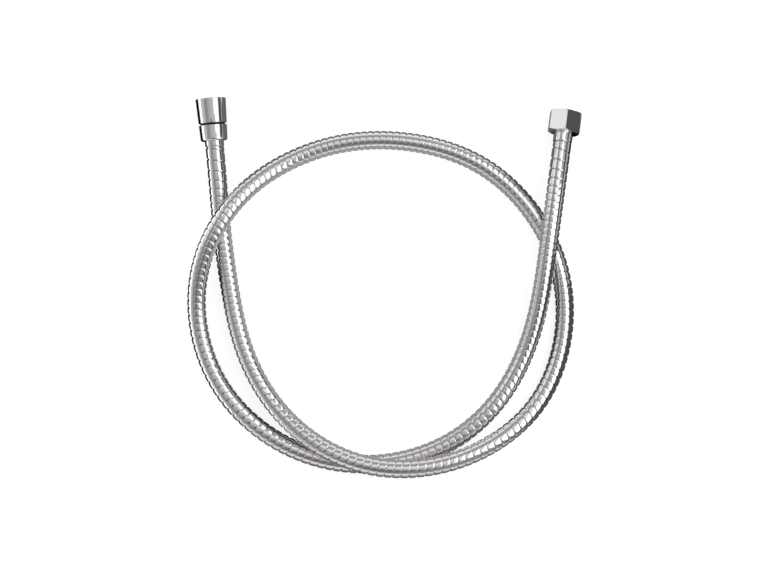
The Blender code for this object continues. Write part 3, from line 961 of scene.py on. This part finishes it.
def painted_reflection_tone(x, y):
    """The painted tone in which the metal mirrors the floor at a place, darkened by painted shadow.

    Outside the loops the floor is white but for a painted shadow round the hose. Inside them it
    is a painted grey, to the right of them it is painted dark as shade, and between the hose's two
    ends it is painted dim.
    """
    # Painted shadow: the floor that the metal mirrors darkens with its distance from the hose and
    # fittings.
    under = [(*point[:2], HOSE_OD / 2 * MM) for point in route[::8]]
    for axis, length in ((cone_axis, CONE_LENGTH), (hex_axis, HEX_LENGTH)):
        for depth in range(0, int(length) + 1, 4):
            under.append((*axis.at(depth)[:2], FITTING_SHADE * MM))
    clear = np.full(x.shape, np.inf)
    for cx, cy, reach in under:
        clear = np.minimum(clear, np.hypot(x - cx, y - cy) - reach)
    clear = np.maximum(clear, 0.0) / MM
    middle = placed((*LOOP_MIDDLE, 0.0))
    over_x = (x - middle[0]) / MM / LOOP_HALF[0]
    over_y = (y - middle[1]) / MM / LOOP_HALF[1]
    out = np.hypot(over_x, over_y)
    contact_shadow = np.interp(clear, *CONTACT_SHADOW_TONE)
    inner = np.interp(x / MM + ORIGIN[0], *INNER_TONE) * contact_shadow
    to_right = soft_step(over_x / np.maximum(out, 1e-6), *RIGHT_FROM)
    outer = to_right * RIGHT_SHADE_TONE * contact_shadow + (1 - to_right) * np.interp(clear, *OPEN_TONE)
    x_from, x_to, y_from, y_to = BETWEEN_LEGS
    between_legs = (1 - soft_step(np.abs(x), x_from, x_to)) * (1 - soft_step(y, y_from, y_to))
    dim, least = LEGS_TONE
    outer = np.maximum(outer * (1 - between_legs * (1 - dim)), between_legs * least)
    outside = soft_step(out, *LOOP_EDGE)
    return outside * outer + (1 - outside) * inner


def white_floor():
    """A pale floor, lifted to white for the camera. The metal mirrors it in its grid's painted
    shade.
    """
    made, tree, shader = new_material("white_floor")
    shader.inputs["Roughness"].default_value = 1.0
    shader.inputs["Specular IOR Level"].default_value = 0.0
    shader.inputs["Emission Color"].default_value = (1.0, 1.0, 1.0, 1.0)
    path = tree.nodes.new("ShaderNodeLightPath")
    glossy = path.outputs["Is Glossy Ray"]
    # Glossy rays see the floor in its grid's painted shade, in both its colour and its lift.
    painted_tones = tree.nodes.new("ShaderNodeAttribute")
    painted_tones.attribute_name = "painted_reflection_shade"
    painted_reflection_shade = math_node(tree, "MULTIPLY", painted_tones.outputs["Fac"], glossy)
    painted_shade_factor = math_node(tree, "ADD", math_node(tree, "SUBTRACT", 1.0, glossy), painted_reflection_shade)
    seen = math_node(tree, "MAXIMUM", path.outputs["Is Camera Ray"], glossy)
    seen = math_node(tree, "MAXIMUM", seen, path.outputs["Is Transmission Ray"])
    tone = math_node(tree, "MULTIPLY", painted_shade_factor, FLOOR_TONE)
    tree.links.new(tone, shader.inputs["Base Color"])
    lift = math_node(tree, "MULTIPLY", math_node(tree, "MULTIPLY", seen, painted_shade_factor), FLOOR_LIFT)
    tree.links.new(lift, shader.inputs["Emission Strength"])
    return made


floor_x, floor_y = np.meshgrid(*floor_grid())
floor_points = np.stack([floor_x, floor_y, 0 * floor_x], -1)
down, wide = floor_x.shape
corner = (np.arange(down - 1)[:, None] * wide + np.arange(wide - 1)[None, :]).reshape(-1, 1)
floor_mesh = mesh_from("floor", floor_points, corner + np.array([[0, 1, wide + 1, wide]]))
# The painted shade tones go onto the floor's points.
painted_reflection_shade = floor_mesh.attributes.new("painted_reflection_shade", "FLOAT", "POINT")
painted_reflection_shade.data.foreach_set("value", painted_reflection_tone(floor_x, floor_y).ravel().astype(np.float32))
floor_mesh.materials.append(white_floor())
floor = bpy.data.objects.new("floor", floor_mesh)
bpy.context.scene.collection.objects.link(floor)
print("floor:", len(floor_mesh.polygons), "faces")

# %% [markdown]
# ## The studio
#
# Lamps and cards could be stood round the hose one by one. Here the studio is drawn as a function
# of direction, because a hose shows the same few directions all along, so that each tone can be put
# where a given side of it mirrors it.
#
# There are two rows. Each is a list of angles from straight up, in degrees, with a brightness at
# each. The first goes from left to right: a grey wall, a dimmer gap, a paler ceiling and a dark
# wall. The second goes up the picture: a white wall, a dark gap, a narrow white strip light nearly
# overhead, a grey wall and another white one. A hose that lies up the picture mirrors the first
# row, and one that lies across it mirrors the second. The world's shader works out how far a
# direction leans to the right and how far up the picture, looks up both rows, and blends them by
# which way it leans more.
#
# A round soft box to the left and a round dark screen to the lower right lie over the rows. Four
# upright panels of light stand close by, hidden from the camera.

# %% Studio
ACROSS_ROW = [
    (-112, 0.45), (-90, 0.45), (-78, 0.58), (-62, 0.62), (-52, 0.46), (-45, 0.30), (-28, 0.32),
    (-20, 0.44), (-6, 0.50), (8, 0.58), (30, 0.60), (45, 0.50), (58, 0.10), (80, 0.08), (92, 0.12),
    (112, 0.12),
]
UP_ROW = [
    (-112, 0.25), (-92, 0.30), (-82, 0.75), (-74, 0.98), (-64, 0.86), (-52, 0.32), (-44, 0.18),
    (-12, 0.18), (-4, 0.35), (3, 0.80), (10, 1.00), (20, 1.00), (28, 0.66), (40, 0.42),
    (54, 0.34), (66, 0.62), (76, 1.00), (94, 1.00), (112, 0.40),
]
UP_ROW_FROM = (7.0, 12.0)
UP_ROW_SHARE = (0.4, 0.9)
SOFT_BOX = ((-0.777, 0.414, 0.475), (0.955, 0.975), 0.95)
DARK_SCREEN = ((0.383, -0.663, 0.643), (0.90, 0.97), 0.30)
ROW_END = 112.0
# A Mix node has its colour sockets at these places, among those of its other data types.
MIX_A, MIX_B, MIX_RESULT = 6, 7, 2


def row_of(tree, lean, row):
    """The brightness of one row at a lean in radians."""
    place = math_node(tree, "MULTIPLY", lean, 180.0 / math.pi / (2 * ROW_END))
    stops = [(0.5 + angle / (2 * ROW_END), value) for angle, value in row]
    return ramp_of(tree, math_node(tree, "ADD", place, 0.5), stops)


def smooth_rise(tree, source, ends):
    """Goes smoothly from 0 to 1 as the source goes from one end to the other."""
    rise = tree.nodes.new("ShaderNodeMapRange")
    rise.interpolation_type = "SMOOTHSTEP"
    rise.inputs["From Min"].default_value, rise.inputs["From Max"].default_value = ends
    tree.links.new(source, rise.inputs["Value"])
    return rise.outputs["Result"]


def round_panel(tree, direction, behind, middle, edge, level):
    """A round panel with a soft edge, in front of what lies behind it, seen in one direction.

    How far a direction is off the panel's middle shows in the product of the two, which is 1 in
    the middle and falls off all round it.
    """
    towards = tree.nodes.new("ShaderNodeVectorMath")
    towards.operation = "DOT_PRODUCT"
    towards.inputs[1].default_value = middle
    tree.links.new(direction, towards.inputs[0])
    inside = smooth_rise(tree, towards.outputs["Value"], edge)
    front = tree.nodes.new("ShaderNodeMix")
    front.data_type = "RGBA"
    tree.links.new(inside, front.inputs["Factor"])
    tree.links.new(behind, front.inputs[MIX_A])
    front.inputs[MIX_B].default_value = (level, level, level, 1.0)
    return front.outputs[MIX_RESULT]


def studio_world():
    """The surroundings: two rows of panels by direction, and plain white behind the floor."""
    world = bpy.data.worlds.new("studio")
    world.use_nodes = True
    bpy.context.scene.world = world
    tree = world.node_tree
    background = tree.nodes["Background"]
    where = tree.nodes.new("ShaderNodeTexCoord")
    split = tree.nodes.new("ShaderNodeSeparateXYZ")
    tree.links.new(where.outputs["Generated"], split.inputs["Vector"])
    x, y, z = (split.outputs[k] for k in "XYZ")
    across = row_of(tree, math_node(tree, "ARCTAN2", x, z), ACROSS_ROW)
    up_lean = math_node(tree, "ARCTAN2", y, z)
    up = row_of(tree, up_lean, UP_ROW)
    x_square = math_node(tree, "MULTIPLY", x, x)
    y_square = math_node(tree, "MULTIPLY", y, y)
    total = math_node(tree, "ADD", math_node(tree, "ADD", x_square, y_square), 1e-6)
    off_middle = smooth_rise(tree, math_node(tree, "ABSOLUTE", up_lean), np.radians(UP_ROW_FROM))
    share = smooth_rise(tree, math_node(tree, "DIVIDE", y_square, total), UP_ROW_SHARE)
    share = math_node(tree, "MULTIPLY", share, off_middle)
    blend = tree.nodes.new("ShaderNodeMix")
    blend.data_type = "RGBA"
    tree.links.new(share, blend.inputs["Factor"])
    tree.links.new(across, blend.inputs[MIX_A])
    tree.links.new(up, blend.inputs[MIX_B])
    rows = blend.outputs[MIX_RESULT]
    boxed = round_panel(tree, where.outputs["Generated"], rows, *DARK_SCREEN)
    boxed = round_panel(tree, where.outputs["Generated"], boxed, *SOFT_BOX)
    path = tree.nodes.new("ShaderNodeLightPath")
    seen = tree.nodes.new("ShaderNodeMix")
    seen.data_type = "RGBA"
    tree.links.new(path.outputs["Is Camera Ray"], seen.inputs["Factor"])
    tree.links.new(boxed, seen.inputs[MIX_A])
    seen.inputs[MIX_B].default_value = (1.0, 1.0, 1.0, 1.0)
    tree.links.new(seen.outputs[MIX_RESULT], background.inputs["Color"])
    background.inputs["Strength"].default_value = 1.0


def panel(name, place, size, level, faces_left):
    """A white panel of light that stands upright to one side, hidden from the camera."""
    lamp = bpy.data.lights.new(name, "AREA")
    lamp.shape = "RECTANGLE"
    lamp.size, lamp.size_y = size
    lamp.energy = level * math.pi * lamp.size * lamp.size_y
    stand = bpy.data.objects.new(name, lamp)
    stand.location = place
    stand.rotation_euler = (math.radians(90), 0.0, math.radians(90 if faces_left else -90))
    stand.visible_camera = False
    bpy.context.scene.collection.objects.link(stand)


for name, place, size, level, faces_left in (
    ("right_panel", (0.205, -0.175, 0.315), (0.29, 0.47), 1.08, True),
    ("upper_panel", (0.205, 0.09, 0.50), (0.24, 0.60), 1.08, True),
    ("low_panel", (0.205, 0.04, 0.028), (0.30, 0.03), 0.45, True),
    ("left_panel", (-0.29, -0.12, 0.024), (0.5, 0.044), 1.1, False),
):
    panel(name, place, size, level, faces_left)
    print(f"{name}: {size[0]} by {size[1]} m")
studio_world()
bpy.context.scene.view_settings.view_transform = "Standard"
